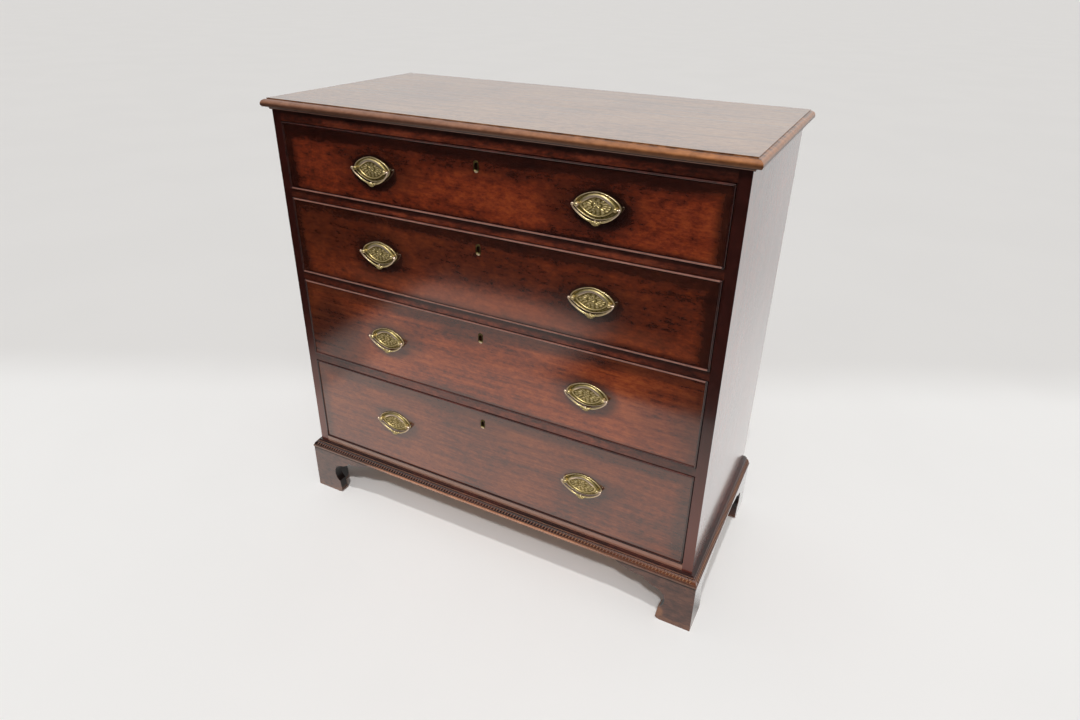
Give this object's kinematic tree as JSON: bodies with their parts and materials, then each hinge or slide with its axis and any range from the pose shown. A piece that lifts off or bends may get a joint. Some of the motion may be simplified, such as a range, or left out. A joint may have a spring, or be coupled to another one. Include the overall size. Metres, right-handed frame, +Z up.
{
  "type": "chest of drawers",
  "caption": "Low mahogany chest of graduated long drawers with a moulded top, cock-beaded dovetailed drawers, oval bail handles, sliding lock bolts and scrolled bracket feet.",
  "frame": {"origin": "on the floor under the middle of the chest's overall length and depth", "axes": "+X to the right as seen from the front, -Y out of the drawer fronts, +Z up"},
  "size_m": [0.904, 0.44, 0.877],
  "materials": {
    "mahogany": "french polish, worn",
    "oak_lining": "dry, unfinished",
    "antique_brass": "antique, rubbed bright on the edges",
    "lock_iron": "dull, oiled"
  },
  "bodies": {
    "carcass": {"top_board": "mahogany", "left_side": "mahogany", "right_side": "mahogany", "top_rail": "mahogany", "bottom_rail": "mahogany", "bottom_board": "oak_lining", "drawer_dividers": "mahogany", "drawer_runners": "oak_lining", "dust_boards": "oak_lining", "drawer_stops": "oak_lining", "back_boards": "oak_lining", "base_moulding": "mahogany", "front_left_foot": "mahogany", "front_right_foot": "mahogany", "rear_left_foot": "mahogany", "rear_right_foot": "mahogany"},
    "drawer_1": {"drawer_1_front": "mahogany", "drawer_1_sides": "oak_lining", "drawer_1_back": "oak_lining", "drawer_1_bottom": "oak_lining", "drawer_1_cock_bead": "mahogany", "drawer_1_lock": "lock_iron", "drawer_1_brasses": "antique_brass", "drawer_1_handle_posts": "antique_brass"},
    "drawer_1_bolt": {"drawer_1_lock_bolt": "lock_iron"},
    "drawer_1_left_pull": {"drawer_1_left_bail": "antique_brass"},
    "drawer_1_right_pull": {"drawer_1_right_bail": "antique_brass"},
    "drawer_2": {"drawer_2_front": "mahogany", "drawer_2_sides": "oak_lining", "drawer_2_back": "oak_lining", "drawer_2_bottom": "oak_lining", "drawer_2_cock_bead": "mahogany", "drawer_2_lock": "lock_iron", "drawer_2_brasses": "antique_brass", "drawer_2_handle_posts": "antique_brass"},
    "drawer_2_bolt": {"drawer_2_lock_bolt": "lock_iron"},
    "drawer_2_left_pull": {"drawer_2_left_bail": "antique_brass"},
    "drawer_2_right_pull": {"drawer_2_right_bail": "antique_brass"},
    "drawer_3": {"drawer_3_front": "mahogany", "drawer_3_sides": "oak_lining", "drawer_3_back": "oak_lining", "drawer_3_bottom": "oak_lining", "drawer_3_cock_bead": "mahogany", "drawer_3_lock": "lock_iron", "drawer_3_brasses": "antique_brass", "drawer_3_handle_posts": "antique_brass"},
    "drawer_3_bolt": {"drawer_3_lock_bolt": "lock_iron"},
    "drawer_3_left_pull": {"drawer_3_left_bail": "antique_brass"},
    "drawer_3_right_pull": {"drawer_3_right_bail": "antique_brass"},
    "drawer_4": {"drawer_4_front": "mahogany", "drawer_4_sides": "oak_lining", "drawer_4_back": "oak_lining", "drawer_4_bottom": "oak_lining", "drawer_4_cock_bead": "mahogany", "drawer_4_lock": "lock_iron", "drawer_4_brasses": "antique_brass", "drawer_4_handle_posts": "antique_brass"},
    "drawer_4_bolt": {"drawer_4_lock_bolt": "lock_iron"},
    "drawer_4_left_pull": {"drawer_4_left_bail": "antique_brass"},
    "drawer_4_right_pull": {"drawer_4_right_bail": "antique_brass"}
  },
  "joints": [
    {"name": "drawer_1_slide", "type": "slide", "parent": "carcass", "child": "drawer_1", "axis": [0, -1, 0], "range_m": [0, 0.3]},
    {"name": "drawer_1_bolt_throw", "type": "slide", "parent": "drawer_1", "child": "drawer_1_bolt", "axis": [0, 0, 1], "range_m": [0, 0.008]},
    {"name": "drawer_1_left_swing", "type": "hinge", "parent": "drawer_1", "child": "drawer_1_left_pull", "pos_m": [-0.215, -0.213, 0.775], "axis": [-1, 0, 0], "range_deg": [0, 150]},
    {"name": "drawer_1_right_swing", "type": "hinge", "parent": "drawer_1", "child": "drawer_1_right_pull", "pos_m": [0.215, -0.213, 0.775], "axis": [-1, 0, 0], "range_deg": [0, 150]},
    {"name": "drawer_2_slide", "type": "slide", "parent": "carcass", "child": "drawer_2", "axis": [0, -1, 0], "range_m": [0, 0.3]},
    {"name": "drawer_2_bolt_throw", "type": "slide", "parent": "drawer_2", "child": "drawer_2_bolt", "axis": [0, 0, 1], "range_m": [0, 0.008]},
    {"name": "drawer_2_left_swing", "type": "hinge", "parent": "drawer_2", "child": "drawer_2_left_pull", "pos_m": [-0.215, -0.213, 0.619], "axis": [-1, 0, 0], "range_deg": [0, 150]},
    {"name": "drawer_2_right_swing", "type": "hinge", "parent": "drawer_2", "child": "drawer_2_right_pull", "pos_m": [0.215, -0.213, 0.619], "axis": [-1, 0, 0], "range_deg": [0, 150]},
    {"name": "drawer_3_slide", "type": "slide", "parent": "carcass", "child": "drawer_3", "axis": [0, -1, 0], "range_m": [0, 0.3]},
    {"name": "drawer_3_bolt_throw", "type": "slide", "parent": "drawer_3", "child": "drawer_3_bolt", "axis": [0, 0, 1], "range_m": [0, 0.008]},
    {"name": "drawer_3_left_swing", "type": "hinge", "parent": "drawer_3", "child": "drawer_3_left_pull", "pos_m": [-0.215, -0.213, 0.4405], "axis": [-1, 0, 0], "range_deg": [0, 150]},
    {"name": "drawer_3_right_swing", "type": "hinge", "parent": "drawer_3", "child": "drawer_3_right_pull", "pos_m": [0.215, -0.213, 0.4405], "axis": [-1, 0, 0], "range_deg": [0, 150]},
    {"name": "drawer_4_slide", "type": "slide", "parent": "carcass", "child": "drawer_4", "axis": [0, -1, 0], "range_m": [0, 0.3]},
    {"name": "drawer_4_bolt_throw", "type": "slide", "parent": "drawer_4", "child": "drawer_4_bolt", "axis": [0, 0, 1], "range_m": [0, 0.008]},
    {"name": "drawer_4_left_swing", "type": "hinge", "parent": "drawer_4", "child": "drawer_4_left_pull", "pos_m": [-0.215, -0.213, 0.2455], "axis": [-1, 0, 0], "range_deg": [0, 150]},
    {"name": "drawer_4_right_swing", "type": "hinge", "parent": "drawer_4", "child": "drawer_4_right_pull", "pos_m": [0.215, -0.213, 0.2455], "axis": [-1, 0, 0], "range_deg": [0, 150]}
  ]
}
